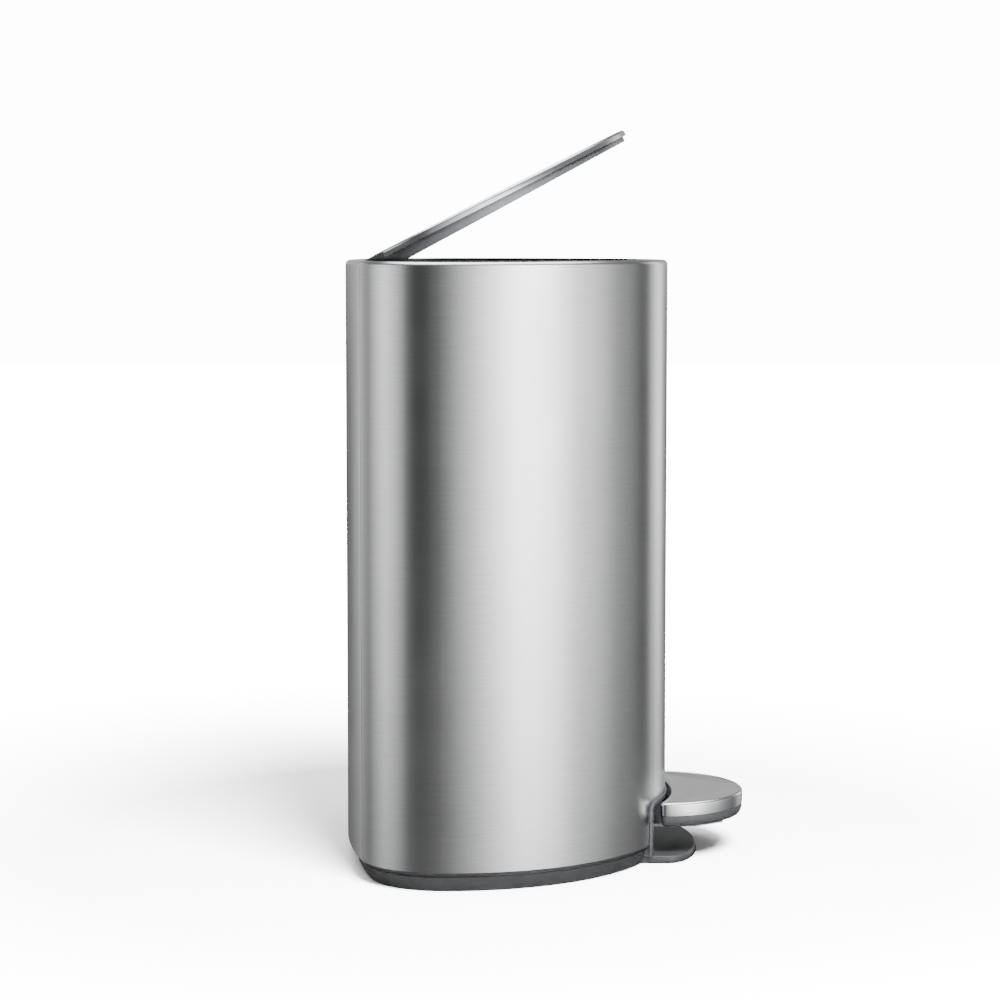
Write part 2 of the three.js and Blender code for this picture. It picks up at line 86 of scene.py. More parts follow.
class CanBodySizes(bpy.types.PropertyGroup):
    """The plan and the heights of the steel body."""

    nose: length("Nose", "How far the front of the body lies ahead of the origin", 173)
    depth: length("Depth", "Front to back of the body", 346)
    front: length("Front radius", "Radius of the round front", 234.4)
    corner: length("Corner radius", "Radius of the two rear corners", 90.6)
    back: length("Back radius", "Radius of the bowed back", 761.4)
    rim: length("Rim height", "Height of the rolled rim", SHELL_BOX[1][2] / MM)
    foot: length("Shell foot", "Height of the shell's lower edge", SHELL_BOX[0][2] / MM)
    sheet: length("Sheet", "Thickness of the steel sheet", 1)
    rim_round: length("Rim rounding", "Outer radius of the rolled rim", 5)
    lip: length("Lip", "Width of the rim, seen from above", 8.5)
    seam: length("Seam", "Where the rear panel meets the shell, behind the origin", 153)
    gap: length("Gap", "Clearance between touching pieces", 0.3)


class CanBaseSizes(bpy.types.PropertyGroup):
    """The plastic base, its tongue and the pedal opening."""

    inset: length("Inset", "How far the top of the skirt stands in from the shell", 4)
    slope: length("Slope", "Further inset at the floor", 6.7)
    skirt: length("Skirt height", "Height of the sloping skirt", 16)
    floor: length("Floor", "Thickness of the base plate", 5)
    upstand: length("Upstand", "Height of the wall inside the shell", 45)
    tongue_half: length("Tongue half width", "Half the width of the foot under the pedal", 95)
    tongue_straight: length("Tongue side", "Reach of the tongue's straight sides ahead of the origin", 170)
    tongue_tip: length("Tongue tip", "How far the tongue reaches ahead of the origin", 206)
    tongue_thick: length("Tongue thickness", "Height of the tongue above the floor", 8)
    opening_half: length("Opening half width", "Half the width of the pedal opening", 98)
    opening_top: length("Opening top", "Height of the pedal opening", 62)
    opening_round: length("Opening corner", "Radius of the opening's top corners", 10)


class CanInsideSizes(bpy.types.PropertyGroup):
    """The collar and the inner bucket."""

    ledge: length("Ledge", "Height of the collar's ledge", 600)
    ledge_thick: length("Ledge thickness", "Thickness of the collar's ledge", 3)
    nose: length("Bucket nose", "How far the bucket reaches ahead of the origin", 151)
    depth: length("Bucket depth", "Front to back of the bucket", 248)
    front: length("Bucket front radius", "Radius of the bucket's round front", 212)
    corner: length("Bucket corner radius", "Radius of the bucket's rear corners", 50)
    back: length("Bucket back radius", "Radius of the bucket's back", 740)
    floor: length("Bucket floor", "Height of the bucket's underside", 78)
    wall: length("Bucket wall", "Thickness of the bucket's wall", 2.5)
    draft: length("Draft", "How much the bucket narrows to its floor on each side", 8)


class CanLidSizes(bpy.types.PropertyGroup):
    """The lid, drawn closed about its hinge axis."""

    hinge_y: length("Hinge place", "Hinge axis, behind the origin", 145)
    hinge_z: length("Hinge height", "Height of the hinge axis", 632)
    tilt: FloatProperty(
        name="Tilt", description="How far the lid stands open", default=math.radians(26.8), subtype="ANGLE"
    )
    inset: length("Lid inset", "How far the lid stands in from the body", 11)
    top: length("Lid top", "Top of the lid above the hinge axis", 9.5)
    plate: length("Plate depth", "Depth of the steel pan", 7)
    rear: length("Rear edge", "Rear edge of the lid behind the hinge axis", 4)
    liner_inset: length("Liner inset", "How far the liner stands in from the body", 15)
    liner_rear: length("Liner depth at the hinge", "Underside of the liner below the hinge axis", 10.5)
    liner_tip: length("Liner depth at the tip", "Underside at the tip, below the hinge axis", 2.5)
    hinge_x: length("Hinge spread", "Half the distance between the hinges", 100)


class CanPedalSizes(bpy.types.PropertyGroup):
    """The pedal's tread and underbody."""

    half: length("Half width", "Half the width of the pedal", 97)
    top: length("Tread height", "Top of the pedal", PEDAL_BOX[1][2] / MM)
    cap_foot: length("Cap foot", "Lower edge of the steel cap", 51)
    foot: length("Underside", "Underside of the pedal", 39)
    centre: length("Round centre", "Centre of the pedal's round front, ahead of the origin", 165)
    reach: length("Reach", "From that centre to the pedal's front edge", 93)
    gap: length("Gap to the body", "Clearance between pedal and body", 6.5)
    corner: length("Corner radius", "Radius of the two corners next to the body", 6)
    edge_round: length("Edge rounding", "Radius of the tread's upper edge", 3)
    sheet: length("Sheet", "Thickness of the tread's steel", 1.2)


class CanFinish(bpy.types.PropertyGroup):
    """Colours of the finishes."""

    steel: colour("Stainless steel", "Brushed stainless steel of the body, lid and tread", "#DADBDC")
    plated: colour("Zinc plate", "Bright zinc plate on brackets, pins and levers", "#B9BDC0")
    base: colour("Base plastic", "Dark grey of the base", "#1A1B1C")
    liner: colour("Liner plastic", "Silver grey paint of the lid liner", "#5B5D60")
    trim: colour("Trim plastic", "Grey of the trim and the rod channel", "#242527")
    bucket: colour("Bucket plastic", "Grey of the inner bucket", "#4A4C50")
    rubber: colour("Rubber", "Black rubber of pads and bumpers", "#0E0E0F")
    floor: colour("Floor", "White paper floor", "#F0F0F0")


GROUPS = {
    "can_body": CanBodySizes,
    "can_base": CanBaseSizes,
    "can_inside": CanInsideSizes,
    "can_lid": CanLidSizes,
    "can_pedal": CanPedalSizes,
    "can_finish": CanFinish,
}


# ---------------------------------------------------------------- modelling helpers

FRONT_STEPS = 96
CORNER_STEPS = 36
BACK_STEPS = 24
ROUND_STEPS = 6
RIM_STEPS = 8
TONGUE_STEPS = 48


class Plan:
    """A D-shaped plan: a round nose, two corners and a bowed back, all tangent."""

    def __init__(self, sizes, shift=0.0):
        self.front, self.corner, self.back = sizes.front, sizes.corner, sizes.back
        self.front_y = -sizes.nose + sizes.front + shift
        self.back_y = -sizes.nose + sizes.depth - sizes.back + shift
        apart = self.front_y - self.back_y
        to_front = self.front - self.corner
        to_back = self.back - self.corner
        below = (to_front ** 2 - to_back ** 2 + apart ** 2) / (2 * apart)
        self.corner_x = math.sqrt(to_front ** 2 - below ** 2)
        self.corner_y = self.front_y - below
        self.low = math.atan2(self.corner_y - self.front_y, self.corner_x)
        self.high = math.atan2(self.corner_y - self.back_y, self.corner_x)

    def point(self, inset, z):
        """Where the plan starts, at the left end of the round front."""
        turn = math.pi - self.low
        radius = self.front - inset
        return Vector((radius * math.cos(turn), self.front_y + radius * math.sin(turn), z))

    def turns(self):
        """The centre, the angle and the steps of each arc, in order."""
        corner = self.high - self.low
        yield (0, self.front_y), math.pi + 2 * self.low, FRONT_STEPS
        yield (self.corner_x, self.corner_y), corner, CORNER_STEPS
        yield (0, self.back_y), math.pi - 2 * self.high, BACK_STEPS
        yield (-self.corner_x, self.corner_y), corner, CORNER_STEPS


def carry_round(bm, plan, geom):
    """Spins points and edges once round the plan, and joins the end to the start."""
    for (x, y), angle, steps in plan.turns():
        made = bmesh.ops.spin(
            bm, geom=geom, cent=(x, y, 0), axis=UP, dvec=(0, 0, 0), angle=angle, steps=steps,
            use_duplicate=False,
        )
        geom = made["geom_last"]
    bmesh.ops.remove_doubles(bm, verts=bm.verts, dist=WELD)


def everything(bm):
    """All points, edges and faces of a mesh."""
    return bm.verts[:] + bm.edges[:] + bm.faces[:]


def sweep(bm, plan, profile, closed=True):
    """Carries a profile of (inset, height) points once round the plan."""
    verts = [bm.verts.new(plan.point(inset, z)) for inset, z in profile]
    pairs = list(zip(verts, verts[1:]))
    if closed:
        pairs.append((verts[-1], verts[0]))
    carry_round(bm, plan, verts + [bm.edges.new(pair) for pair in pairs])


def close_holes(bm):
    """Fills every open loop with one face."""
    edges = [e for e in bm.edges if e.is_boundary]
    bmesh.ops.holes_fill(bm, edges=edges, sides=0)


def face_outwards(bm):
    """Turns every face of a closed mesh outwards."""
    bmesh.ops.recalc_face_normals(bm, faces=bm.faces)


def arc(cx, cy, radius, start, end, steps):
    """Points on an arc, angles in degrees."""
    turns = [math.radians(start + (end - start) * i / steps) for i in range(steps + 1)]
    return [(cx + radius * math.cos(t), cy + radius * math.sin(t)) for t in turns]


def prism(bm, outline, low, high):
    """A block that stands on a closed outline of (x, y) points."""
    verts = [bm.verts.new((x, y, low)) for x, y in outline]
    face = bm.faces.new(verts)
    made = bmesh.ops.extrude_face_region(bm, geom=[face])
    moved = [v for v in made["geom"] if isinstance(v, bmesh.types.BMVert)]
    bmesh.ops.translate(bm, verts=moved, vec=(0, 0, high - low))
    return verts + moved


def bar(bm, start, end, radius, segments=32):
    """A round bar between two points."""
    start, end = Vector(start), Vector(end)
    turn = (end - start).to_track_quat("Z", "Y").to_matrix().to_4x4()
    place = Matrix.Translation((start + end) / 2) @ turn
    bmesh.ops.create_cone(
        bm, cap_ends=True, segments=segments, radius1=radius, radius2=radius,
        depth=(end - start).length, matrix=place,
    )


def round_edges(bm, edges, radius, segments=ROUND_STEPS):
    """Rounds some edges of a mesh."""
    bmesh.ops.bevel(
        bm, geom=edges, offset=radius, offset_type="OFFSET", segments=segments, profile=0.5,
        affect="EDGES", clamp_overlap=False, material=-1,
    )


def mesh_object(bm, name):
    """A new object at the origin from a bmesh."""
    mesh = bpy.data.meshes.new(name)
    bm.to_mesh(mesh)
    bm.free()
    piece = bpy.data.objects.new(name, mesh)
    bpy.context.scene.collection.objects.link(piece)
    return piece


def bake_changes(piece):
    """Turns a piece's modifiers into its mesh."""
    graph = bpy.context.evaluated_depsgraph_get()
    graph.update()
    result = bpy.data.meshes.new_from_object(piece.evaluated_get(graph))
    piece.modifiers.clear()
    piece.data = result


def combine(piece, tool_bm, operation="DIFFERENCE"):
    """Cuts, joins or intersects a piece with a tool shape."""
    face_outwards(tool_bm)
    tool = mesh_object(tool_bm, "tool")
    change = piece.modifiers.new("combine", "BOOLEAN")
    change.operation = operation
    change.object = tool
    change.solver = "EXACT"
    bake_changes(piece)
    bpy.data.objects.remove(tool)


def soften(piece, radius, segments=3, angle=40):
    """Rounds a piece's sharp edges in its mesh."""
    change = piece.modifiers.new("soften", "BEVEL")
    change.width = radius
    change.segments = segments
    change.limit_method = "ANGLE"
    change.angle_limit = math.radians(angle)
    change.use_clamp_overlap = True
    bake_changes(piece)


def finish_piece(piece, name, material, slot, body, *nodes, angle=30):
    """Shades, names and places a piece, and says which CAD nodes it stands for."""
    piece.name = name
    piece.data.name = name
    piece.data.materials.clear()
    piece.data.materials.append(material)
    piece.data.shade_smooth()
    piece.data.set_sharp_from_angle(angle=math.radians(angle))
    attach(piece, body)
    if nodes:
        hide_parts(*nodes)
    return piece


def sizes():
    """All the size groups of the scene."""
    scene = bpy.context.scene
    return scene.can_body, scene.can_base, scene.can_inside, scene.can_lid, scene.can_pedal


def rim_round(body):
    """Profile of the rim's rounded outside."""
    r = body.rim_round
    return [(r - x, body.rim - r + z) for x, z in arc(0, 0, r, 0, 90, RIM_STEPS)]


def steel_edge(body, inner, outer_z, inner_z):
    """Profile of the rolled rim: outside wall, round, lip and inside wall."""
    r, sheet = body.rim_round, body.sheet
    inside = [(r - x, body.rim - r + z) for x, z in arc(0, 0, r - sheet, 90, 0, RIM_STEPS)]
    lip = [(inner, body.rim), (inner, body.rim - sheet)]
    return [(0, outer_z), *rim_round(body), *lip, *inside, (sheet, inner_z)]


def box_tool(x0, x1, y0, y1, z0, z1):
    """A box as a tool shape, by its lowest and highest corners."""
    bm = bmesh.new()
    prism(bm, [(x0, y0), (x1, y0), (x1, y1), (x0, y1)], z0, z1)
    return bm


def arch_tool(half, top, corner, foot, reach=DOORWAY):
    """A window with round upper corners that runs along a stretch of y."""
    bm = bmesh.new()
    outline = [(-half, foot), (half, foot)]
    outline += arc(half - corner, top - corner, corner, 0, 90, RIM_STEPS)
    outline += arc(corner - half, top - corner, corner, 90, 180, RIM_STEPS)
    verts = prism(bm, outline, -reach[1], -reach[0])
    bmesh.ops.rotate(bm, verts=verts, cent=(0, 0, 0), matrix=Matrix.Rotation(math.pi / 2, 3, "X"))
    return bm


# ---------------------------------------------------------------- finishes

def add_node(tree, kind, inputs=None, **settings):
    """Adds a shader node, sets it up, and links or fills its inputs."""
    node = tree.nodes.new(kind)
    for key, value in settings.items():
        setattr(node, key, value)
    for key, value in (inputs or {}).items():
        if isinstance(value, bpy.types.NodeSocket):
            tree.links.new(value, node.inputs[key])
        else:
            node.inputs[key].default_value = value
    return node


def new_finish(name):
    """An empty material: its tree, its shader, and the object coordinates in metres."""
    finish = bpy.data.materials.get(name)
    if finish:
        return finish, None, None, None
    finish = bpy.data.materials.new(name)
    finish.use_nodes = True
    tree = finish.node_tree
    tree.nodes.clear()
    shader = add_node(tree, "ShaderNodeBsdfPrincipled")
    add_node(tree, "ShaderNodeOutputMaterial", {"Surface": shader.outputs["BSDF"]})
    place = add_node(tree, "ShaderNodeTexCoord").outputs["Object"]
    return finish, tree, shader, place


def noise(tree, place, scale, detail, rough):
    """A noise texture: its value, from 0 to 1."""
    inputs = {"Vector": place, "Scale": scale, "Detail": detail, "Roughness": rough}
    return add_node(tree, "ShaderNodeTexNoise", inputs).outputs["Fac"]


def relief_bump(tree, shader, height, strength, depth):
    """Raises a surface's texture."""
    inputs = {"Height": height, "Strength": strength, "Distance": depth}
    bump = add_node(tree, "ShaderNodeBump", inputs)
    tree.links.new(bump.outputs["Normal"], shader.inputs["Normal"])


def shade_range(tree, factor, dark, light):
    """Turns a 0 to 1 value into a blend between two colours."""
    mix = add_node(tree, "ShaderNodeMix", {"Factor": factor}, data_type="RGBA")
    mix.inputs[6].default_value = (*dark, 1)
    mix.inputs[7].default_value = (*light, 1)
    return mix.outputs[2]


def remap(tree, value, low, high, new_low, new_high):
    """Turns one range of numbers into another."""
    inputs = {"Value": value, "From Min": low, "From Max": high, "To Min": new_low, "To Max": new_high}
    return add_node(tree, "ShaderNodeMapRange", inputs).outputs["Result"]


def scaled(colour_value, share):
    """A colour made darker or lighter."""
    return tuple(min(1, c * share) for c in colour_value)


GRAIN_LENGTH = 45 * MM  # length of one brush mark
GRAIN_WIDTH = 1.1 * MM  # a real mark is 0.1 mm wide: drawn coarser, so that it shows


def brushed_stainless(name, along, tangent):
    """304 stainless sheet brushed with a fine belt: long thin scratches, glare stretched across them.

    along is the stretch of the scratches on each axis: 1 where they run, 0 across them.
    tangent is the direction in which the glare is drawn out."""
    finish, tree, shader, place = new_finish(name)
    if tree is None:
        return finish
    steel = bpy.context.scene.can_finish.steel
    scale = [1 / GRAIN_LENGTH if run else 1 / GRAIN_WIDTH for run in along]
    grain_place = add_node(tree, "ShaderNodeMapping", {"Vector": place, "Scale": scale}).outputs["Vector"]
    grain = noise(tree, grain_place, 1, 4, 0.65)
    fine = [share * 3 for share in scale]
    fine_place = add_node(tree, "ShaderNodeMapping", {"Vector": place, "Scale": fine}).outputs["Vector"]
    hair = noise(tree, fine_place, 1, 2, 0.5)
    cloud = noise(tree, place, 9, 2, 0.5)
    blend = {"Factor": 0.4, "A": grain, "B": hair}
    marks = add_node(tree, "ShaderNodeMix", blend, data_type="FLOAT").outputs["Result"]
    tone = remap(tree, marks, 0.3, 0.7, 0, 1)
    tint = shade_range(tree, tone, scaled(steel, 0.9), scaled(steel, 1.06))
    tree.links.new(tint, shader.inputs["Base Color"])
    gloss = remap(tree, cloud, 0.3, 0.7, 0.21, 0.27)
    tree.links.new(gloss, shader.inputs["Roughness"])
    shader.inputs["Metallic"].default_value = 1
    shader.inputs["Anisotropic"].default_value = 0.55
    draw = add_node(tree, "ShaderNodeCombineXYZ", dict(zip("XYZ", tangent)))
    tree.links.new(draw.outputs["Vector"], shader.inputs["Tangent"])
    relief_bump(tree, shader, marks, 0.12, 0.04 * MM)
    return finish


def upright_steel():
    """Horizontal brushing on upright walls, so that glare is drawn out up and down."""
    return brushed_stainless("brushed_stainless_upright", (1, 1, 0), (0, 0, 1))


def lid_steel():
    """Brushing from side to side on the lid and the tread."""
    return brushed_stainless("brushed_stainless_level", (1, 0, 0), (0, 1, 0))


def plated_steel():
    """Bright zinc plate over pressed steel: a soft mirror with a faint cloud."""
    finish, tree, shader, place = new_finish("zinc_plated_steel")
    if tree is None:
        return finish
    plated = bpy.context.scene.can_finish.plated
    cloud = noise(tree, place, 140, 3, 0.6)
    tint = shade_range(tree, cloud, scaled(plated, 0.82), scaled(plated, 1.05))
    tree.links.new(tint, shader.inputs["Base Color"])
    tree.links.new(remap(tree, cloud, 0.3, 0.7, 0.24, 0.4), shader.inputs["Roughness"])
    shader.inputs["Metallic"].default_value = 1
    return finish


def moulded(name, key, rough, grit, relief, sheen=0.0, metal=0.0):
    """Moulded plastic: an even colour with the mould's fine texture and small cloudy shifts of gloss.

    grit is the size of the mould's texture, and relief its depth."""
    finish, tree, shader, place = new_finish(name)
    if tree is None:
        return finish
    base = getattr(bpy.context.scene.can_finish, key)
    texture = noise(tree, place, 1 / grit, 3, 0.6)
    cloud = noise(tree, place, 22, 2, 0.5)
    tint = shade_range(tree, cloud, scaled(base, 0.9), scaled(base, 1.1))
    tree.links.new(tint, shader.inputs["Base Color"])
    gloss = remap(tree, texture, 0.3, 0.7, rough - 0.04, rough + 0.06)
    tree.links.new(gloss, shader.inputs["Roughness"])
    relief_bump(tree, shader, texture, 0.35, relief)
    shader.inputs["Metallic"].default_value = metal
    if not metal:
        shader.inputs["IOR"].default_value = 1.49
    shader.inputs["Coat Weight"].default_value = sheen
    shader.inputs["Coat Roughness"].default_value = 0.3
    return finish


def base_plastic():
    """Dark grey polypropylene with a fine matt mould texture."""
    return moulded("moulded_dark_polypropylene", "base", 0.42, 0.9 * MM, 0.03 * MM)


def liner_plastic():
    """ABS sprayed with silver-grey metallic paint: fine flakes give it a soft metallic sheen."""
    return moulded("metallic_painted_abs", "liner", 0.34, 3 * MM, 0.0005 * MM, metal=0.9)


def trim_plastic():
    """Mid-grey ABS of the trim, channel, bushes and roller."""
    return moulded("moulded_trim_abs", "trim", 0.32, 1.1 * MM, 0.015 * MM)


def bucket_plastic():
    """Grey polyethylene of the bucket and the collar, a little waxy."""
    return moulded("moulded_grey_polyethylene", "bucket", 0.38, 1.8 * MM, 0.03 * MM, sheen=0.15)


def black_rubber():
    """Black moulded rubber, dull, with a dusty grain."""
    return moulded("moulded_black_rubber", "rubber", 0.75, 0.7 * MM, 0.05 * MM)


# ---------------------------------------------------------------- pieces

def shell_opening(base):
    """The pedal opening as a tool shape."""
    return arch_tool(base.opening_half, base.opening_top, base.opening_round, -10 * MM)


class CAN_OT_front_shell(bpy.types.Operator):
    """Steel wrap: one sheet with a rolled rim, open at the back and at the pedal"""

    bl_idname = "trash_can.front_shell"
    bl_label = "Front Shell"

    def execute(self, context):
        body, base, *_ = sizes()
        bm = bmesh.new()
        sweep(bm, Plan(body), steel_edge(body, body.lip, body.foot, body.foot))
        face_outwards(bm)
        piece = mesh_object(bm, "front_shell_sheet")
        combine(piece, box_tool(-1, 1, body.seam, 1, -1, 1))
        combine(piece, shell_opening(base))
        finish_piece(piece, "front_shell_sheet", upright_steel(), "brushed_steel", "body", "front_shell")
        return {"FINISHED"}


class CAN_OT_rear_panel(bpy.types.Operator):
    """Bowed steel back, closed over the top behind the lid"""

    bl_idname = "trash_can.rear_panel"
    bl_label = "Rear Panel"

    def execute(self, context):
        body, *_ = sizes()
        bm = bmesh.new()
        profile = [(0, body.foot), *rim_round(body), (body.rim_round + MM, body.rim)]
        sweep(bm, Plan(body), profile, closed=False)
        tops = [e for e in bm.edges if e.is_boundary and e.verts[0].co.z > body.rim / 2]
        bmesh.ops.holes_fill(bm, edges=tops, sides=0)
        face_outwards(bm)
        seam = body.seam + body.gap
        bmesh.ops.bisect_plane(
            bm, geom=everything(bm), plane_co=(0, seam, 0), plane_no=(0, -1, 0), clear_outer=True
        )
        if sum(f.normal.z * f.calc_area() for f in bm.faces) < 0:
            bmesh.ops.reverse_faces(bm, faces=bm.faces)
        bmesh.ops.solidify(bm, geom=bm.faces[:], thickness=body.sheet)
        face_outwards(bm)
        piece = mesh_object(bm, "rear_panel_sheet")
        finish_piece(piece, "rear_panel_sheet", upright_steel(), "brushed_steel", "body", "rear_panel")
        return {"FINISHED"}


class CAN_OT_base(bpy.types.Operator):
    """Dark moulded base: sloping skirt, shadow groove, upstand, doorway and tongue"""

    bl_idname = "trash_can.base"
    bl_label = "Base"

    def execute(self, context):
        body, base, *_ = sizes()
        plan = Plan(body)
        shoulder = body.foot - body.gap
        wall = body.sheet + body.gap
        groove = 1.6 * MM
        bm = bmesh.new()
        skirt = [
            (base.inset + base.slope + 0.6 * MM, 0),
            (base.inset + base.slope, 0.6 * MM),
            (base.inset + 0.5 * MM, base.skirt - 0.8 * MM),
            (base.inset + 0.9 * MM, base.skirt),
            (base.inset + groove, base.skirt + 0.3 * MM),
            (base.inset + groove, shoulder - 1.9 * MM),
            (wall + 0.4 * MM, shoulder - 1.6 * MM),
            (wall, shoulder - 1.2 * MM),
            (wall, base.upstand),
            (base.inset + 2.5 * MM, base.upstand),
            (base.inset + 2.5 * MM, shoulder),
            (14 * MM, shoulder - 4 * MM),
            (14 * MM, base.floor),
        ]
        sweep(bm, plan, skirt, closed=False)
        close_holes(bm)
        face_outwards(bm)
        piece = mesh_object(bm, "base_moulding")
        combine(piece, box_tool(-base.opening_half, base.opening_half, *DOORWAY, base.tongue_thick, FAR))
        combine(piece, self.tongue(base), "UNION")
        soften(piece, 0.6 * MM, angle=50)
        finish_piece(piece, "base_moulding", base_plastic(), "dark_plastic", "body", "base")
        return {"FINISHED"}

    def tongue(self, base):
        """The foot under the pedal, with a rounded upper edge."""
        reach = base.tongue_tip - base.tongue_straight
        half, thick = base.tongue_half, base.tongue_thick
        half_round = arc(0, 0, 1, 180, 360, TONGUE_STEPS)
        tip = [(x * half, y * reach - base.tongue_straight) for x, y in half_round]
        inner = -125 * MM
        bm = bmesh.new()
        prism(bm, [*tip, (half, inner), (-half, inner)], 0, thick)
        top = [
            e for e in bm.edges
            if all(v.co.z > thick / 2 for v in e.verts) and any(v.co.y < inner - MM for v in e.verts)
        ]
        round_edges(bm, top, 2.2 * MM)
        return bm


class CAN_OT_opening_trim(bpy.types.Operator):
    """Moulded frame that lines the pedal opening and laps over the edge of the shell"""

    bl_idname = "trash_can.opening_trim"
    bl_label = "Pedal Opening Trim"

    def execute(self, context):
        body, base, *_ = sizes()
        plan = Plan(body)
        foot = base.tongue_thick + body.gap
        edge = 4 * MM
        lap = 1.4 * MM
        deep = 9 * MM
        bm = bmesh.new()
        ring = [(-lap, foot), (-body.gap, foot), (-body.gap, FAR), (-lap, FAR)]
        sweep(bm, plan, ring)
        face_outwards(bm)
        piece = mesh_object(bm, "opening_trim_frame")
        outer = (base.opening_half + edge, base.opening_top + edge, base.opening_round + edge)
        combine(piece, arch_tool(*outer, foot), "INTERSECT")
        sleeve = bmesh.new()
        sweep(sleeve, plan, [(-MM, foot), (deep, foot), (deep, FAR), (-MM, FAR)])
        face_outwards(sleeve)
        lining = mesh_object(sleeve, "lining")
        gap = body.gap
        snug = (base.opening_half - gap, base.opening_top - gap, base.opening_round - gap)
        combine(lining, arch_tool(*snug, foot), "INTERSECT")
        joined = bmesh.new()
        joined.from_mesh(lining.data)
        bpy.data.objects.remove(lining)
        combine(piece, joined, "UNION")
        inner = (base.opening_half - 3 * MM, base.opening_top - 1 * MM, base.opening_round - 2 * MM)
        combine(piece, arch_tool(*inner, -20 * MM, (-0.31, -0.09)))
        soften(piece, 0.5 * MM, angle=40)
        finish_piece(
            piece, "opening_trim_frame", trim_plastic(), "grey_plastic", "body", "pedal_opening_trim"
        )
        return {"FINISHED"}


class CAN_OT_collar(bpy.types.Operator):
    """Dark ring inside the rim that carries the bucket and the hinges"""

    bl_idname = "trash_can.collar"
    bl_label = "Inner Collar"

    def execute(self, context):
        body, _, inside, *_ = sizes()
        wall = body.sheet + body.gap
        thick = 2.5 * MM
        top = body.rim - 8 * MM
        ledge_top = inside.ledge + inside.ledge_thick
        bm = bmesh.new()
        profile = [(wall, inside.ledge), (wall, top - MM), (wall + MM, top), (wall + thick, top - 0.6 * MM)]
        profile += [(wall + thick, ledge_top + 2 * MM), (wall + thick + 2 * MM, ledge_top)]
        sweep(bm, Plan(body), profile, closed=False)
        close_holes(bm)
        face_outwards(bm)
        piece = mesh_object(bm, "collar_ring")
        hole = bmesh.new()
        sweep(hole, Plan(inside), [(-MM, inside.ledge - 5 * MM), (-MM, body.rim)], closed=False)
        close_holes(hole)
        combine(piece, hole)
        rod_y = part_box("push_rod")[0][1] + 2 * MM
        combine(piece, box_tool(-15 * MM, 15 * MM, rod_y - 14 * MM, rod_y + 14 * MM, 0.5, 0.7))
        soften(piece, 0.4 * MM, angle=50)
        finish_piece(piece, "collar_ring", bucket_plastic(), "dark_plastic", "body", "inner_collar")
        return {"FINISHED"}


class CAN_OT_bucket(bpy.types.Operator):
    """Inner bucket: tapered walls, a rounded floor and a rolled flange with finger dips"""

    bl_idname = "trash_can.bucket"
    bl_label = "Inner Bucket"

    def execute(self, context):
        body, _, inside, *_ = sizes()
        rim = inside.ledge + inside.ledge_thick + body.gap
        top = rim + 3 * MM
        over, wall, floor, draft = -5 * MM, inside.wall, inside.floor, inside.draft
        r = 9 * MM
        outer_floor = [(draft + r - x, floor + r + z) for x, z in arc(0, 0, r, 270, 360, 6)]
        inner_floor = [(draft + r - x, floor + r + z) for x, z in arc(0, 0, r - wall, 360, 270, 6)]
        lip = [(over + MM, rim), (over, rim + MM), (over, top - MM), (over + MM, top)]
        profile = [*outer_floor, (0.3 * MM, rim - MM), (-0.4 * MM, rim), *lip]
        profile += [(wall - 1.5 * MM, top), (wall, top - 1.5 * MM), *inner_floor]
        bm = bmesh.new()
        sweep(bm, Plan(inside), profile, closed=False)
        close_holes(bm)
        face_outwards(bm)
        piece = mesh_object(bm, "bucket_shell")
        finish_piece(piece, "bucket_shell", bucket_plastic(), "bucket_plastic", "body", "inner_bucket")
        return {"FINISHED"}


def lid_place(lid):
    """Turns the closed lid about its hinge axis into its place."""
    return Matrix.Translation((0, lid.hinge_y, lid.hinge_z)) @ Matrix.Rotation(-lid.tilt, 4, "X")


def lid_outline(body, lid, inset, rear):
    """A flat face about the hinge axis: the body's plan, cut straight behind the hinge."""
    plan = Plan(body, -lid.hinge_y)
    bm = bmesh.new()
    carry_round(bm, plan, [bm.verts.new(plan.point(inset, 0))])
    bmesh.ops.contextual_create(bm, geom=bm.edges[:])
    bmesh.ops.bisect_plane(
        bm, geom=everything(bm), plane_co=(0, rear, 0), plane_no=(0, 1, 0), clear_outer=True
    )
    return bm


# edge of the lid's clipped rear corners in millimetres, about the hinge axis
CLIP = ((118, 4), (132, -9), (176, -9), (196, -22))


def clip_tool(side, grow=0.0):
    """What is cut off one rear corner of the lid, so that it passes the rim as it opens."""
    points = [(x * MM - grow, y * MM - grow) for x, y in CLIP]
    points += [(4 * FAR, points[-1][1]), (4 * FAR, FAR), (points[0][0], FAR)]
    outline = [(side * x, y) for x, y in points]
    bm = bmesh.new()
    prism(bm, outline if side > 0 else outline[::-1], -FAR, FAR)
    return bm


def raise_block(bm, low, high):
    """Turns a flat outline face into a block between two heights."""
    face = bm.faces[:]
    bmesh.ops.translate(bm, verts=bm.verts[:], vec=(0, 0, low))
    made = bmesh.ops.extrude_face_region(bm, geom=face)
    moved = [v for v in made["geom"] if isinstance(v, bmesh.types.BMVert)]
    bmesh.ops.translate(bm, verts=moved, vec=(0, 0, high - low))
    face_outwards(bm)


def rim_edges(piece_bm, level):
    """The sharp edges of a block's outline at one height."""
    return [
        e for e in piece_bm.edges
        if all(abs(v.co.z - level) < WELD for v in e.verts)
        and len(e.link_faces) == 2
        and e.calc_face_angle(0) > math.radians(60)
    ]


def round_outline(piece, level, radius):
    """Rounds a piece's outline at one height."""
    bm = bmesh.new()
    bm.from_mesh(piece.data)
    bmesh.ops.dissolve_degenerate(bm, dist=0.005 * MM, edges=bm.edges[:])
    round_edges(bm, rim_edges(bm, level), radius)
    bm.to_mesh(piece.data)
    bm.free()


